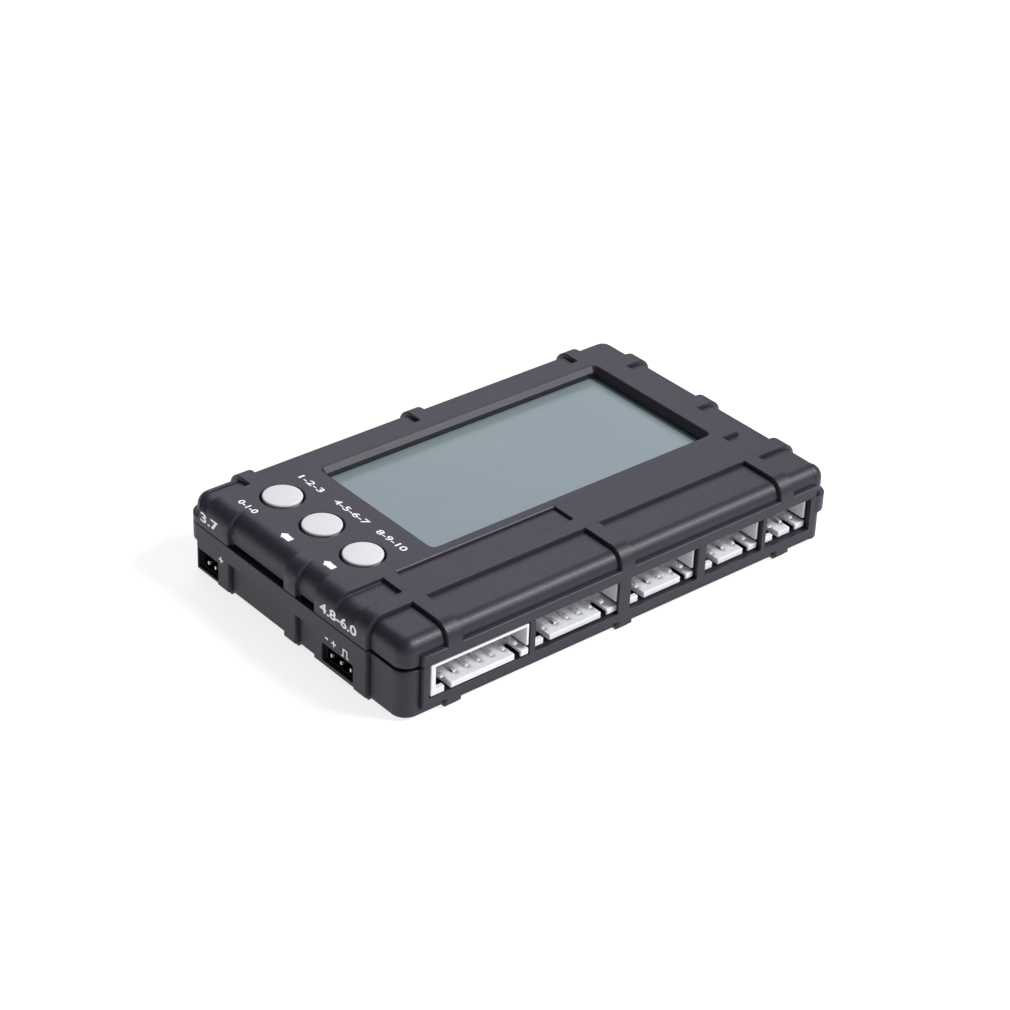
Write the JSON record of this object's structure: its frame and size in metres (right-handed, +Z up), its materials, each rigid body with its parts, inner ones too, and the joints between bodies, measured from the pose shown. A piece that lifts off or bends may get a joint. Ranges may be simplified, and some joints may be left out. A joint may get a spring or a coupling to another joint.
{
  "type": "balance battery charger",
  "caption": "Flat pocket balance charger with a display window, three push buttons, a row of white balance headers along the front and small sockets in one end.",
  "frame": {"origin": "centre of the footprint, on the surface that the feet rest on", "axes": "+X along the long side, away from the end with the two small sockets; +Z up out of the display; the balance headers face -Y"},
  "size_m": [0.0932, 0.0592, 0.0159],
  "materials": {
    "case_plastic": "fine satin moulded charcoal plastic",
    "screw_steel": "zinc plated screw",
    "lcd_glass": "blue-grey display glass behind a satin polariser",
    "lcd_reflector": "satin reflector film",
    "elastomer": "matt striped contact rubber",
    "button_plastic": "light grey moulded plastic, fine satin",
    "component_black": "matt black moulding compound",
    "board_laminate": "green solder mask over glass laminate",
    "resistor_ceramic": "unglazed white ceramic",
    "header_nylon": "translucent natural nylon",
    "pin_metal": "tin plated square pin"
  },
  "bodies": {
    "case": {"upper_shell": "case_plastic", "lower_shell": "case_plastic", "case_screw_1": "screw_steel", "case_screw_2": "screw_steel", "case_screw_3": "screw_steel", "case_screw_4": "screw_steel", "lcd_front_glass": "lcd_glass", "lcd_rear_glass": "lcd_glass", "lcd_reflector": "lcd_reflector", "lcd_contact_strip": "elastomer", "switch_body_1": "component_black", "switch_body_2": "component_black", "switch_body_3": "component_black", "main_board": "board_laminate", "microcontroller": "component_black", "load_resistor_1": "resistor_ceramic", "load_resistor_2": "resistor_ceramic", "header_7_housing": "header_nylon", "header_7_pin_1": "pin_metal", "header_7_pin_2": "pin_metal", "header_7_pin_3": "pin_metal", "header_7_pin_4": "pin_metal", "header_7_pin_5": "pin_metal", "header_7_pin_6": "pin_metal", "header_7_pin_7": "pin_metal", "header_6_housing": "header_nylon", "header_6_pin_1": "pin_metal", "header_6_pin_2": "pin_metal", "header_6_pin_3": "pin_metal", "header_6_pin_4": "pin_metal", "header_6_pin_5": "pin_metal", "header_6_pin_6": "pin_metal", "header_5_housing": "header_nylon", "header_5_pin_1": "pin_metal", "header_5_pin_2": "pin_metal", "header_5_pin_3": "pin_metal", "header_5_pin_4": "pin_metal", "header_5_pin_5": "pin_metal", "header_4_housing": "header_nylon", "header_4_pin_1": "pin_metal", "header_4_pin_2": "pin_metal", "header_4_pin_3": "pin_metal", "header_4_pin_4": "pin_metal", "header_3_housing": "header_nylon", "header_3_pin_1": "pin_metal", "header_3_pin_2": "pin_metal", "header_3_pin_3": "pin_metal", "socket_2_housing": "component_black", "socket_2_pin_1": "pin_metal", "socket_2_pin_2": "pin_metal", "socket_3_housing": "component_black", "socket_3_pin_1": "pin_metal", "socket_3_pin_2": "pin_metal", "socket_3_pin_3": "pin_metal"},
    "button_1": {"button_cap_1": "button_plastic", "switch_plunger_1": "component_black"},
    "button_2": {"button_cap_2": "button_plastic", "switch_plunger_2": "component_black"},
    "button_3": {"button_cap_3": "button_plastic", "switch_plunger_3": "component_black"}
  },
  "joints": [
    {"name": "button_1_press", "type": "slide", "parent": "case", "child": "button_1", "axis": [0, 0, -1], "range_m": [0, 0.0003], "stiffness_N_per_m": 600},
    {"name": "button_2_press", "type": "slide", "parent": "case", "child": "button_2", "axis": [0, 0, -1], "range_m": [0, 0.0003], "stiffness_N_per_m": 600},
    {"name": "button_3_press", "type": "slide", "parent": "case", "child": "button_3", "axis": [0, 0, -1], "range_m": [0, 0.0003], "stiffness_N_per_m": 600}
  ]
}
